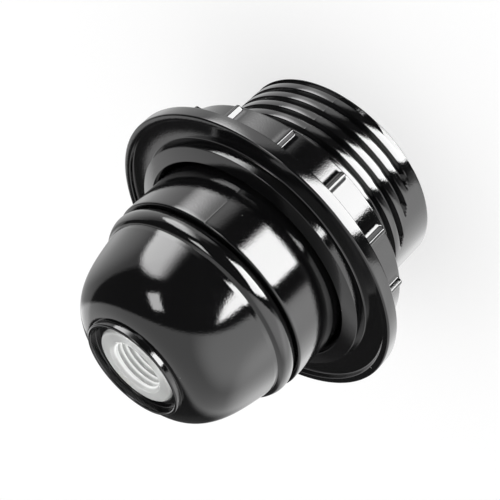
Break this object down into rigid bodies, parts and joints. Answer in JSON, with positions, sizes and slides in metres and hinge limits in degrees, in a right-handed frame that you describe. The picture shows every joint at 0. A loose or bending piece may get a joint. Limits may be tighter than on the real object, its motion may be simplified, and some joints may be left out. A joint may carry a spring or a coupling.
{
  "type": "lamp holder",
  "caption": "Glossy black screw-in lamp holder with a half-threaded barrel, a shade ring, a domed cap and a clear threaded cable entry.",
  "frame": {"origin": "centre of the barrel's mouth rim, in the plane that the holder stands on", "axes": "+Z along the axis from the lamp mouth to the cable entry; +X towards the phase terminal"},
  "size_m": [0.0572, 0.0572, 0.054],
  "materials": {
    "black_moulding": "high gloss moulded",
    "clear_bush": "clear moulded polycarbonate",
    "steatite": "unglazed steatite",
    "contact_brass": "stamped",
    "spring_steel": "drawn wire",
    "screw_steel": "zinc plated"
  },
  "bodies": {
    "holder": {"barrel": "black_moulding", "contact_block": "steatite", "phase_strip": "contact_brass", "shell_contact": "contact_brass", "phase_rivet": "contact_brass", "shell_rivet": "contact_brass", "contact_spring": "spring_steel"},
    "ring": {"shade_ring": "black_moulding"},
    "cap": {"cap": "black_moulding", "entry_bush": "clear_bush"},
    "centre_contact": {"centre_contact": "contact_brass"},
    "phase_screw": {"phase_terminal_screw": "screw_steel", "phase_terminal_washer": "contact_brass"},
    "shell_screw": {"shell_terminal_screw": "screw_steel", "shell_terminal_washer": "contact_brass"}
  },
  "joints": [
    {"name": "shade_ring_off", "type": "slide", "parent": "holder", "child": "ring", "axis": [0, 0, -1], "range_m": [0, 0.03]},
    {"name": "cap_off", "type": "slide", "parent": "holder", "child": "cap", "axis": [0, 0, 1], "range_m": [0, 0.03]},
    {"name": "centre_contact_press", "type": "slide", "parent": "holder", "child": "centre_contact", "axis": [0, 0, 1], "range_m": [0, 0.002], "stiffness_N_per_m": 1000, "springref_m": -0.001, "deforming": ["contact_spring"]},
    {"name": "phase_screw_loosen", "type": "slide", "parent": "holder", "child": "phase_screw", "axis": [0, 0, 1], "range_m": [0, 0.002]},
    {"name": "shell_screw_loosen", "type": "slide", "parent": "holder", "child": "shell_screw", "axis": [0, 0, 1], "range_m": [0, 0.002]}
  ]
}
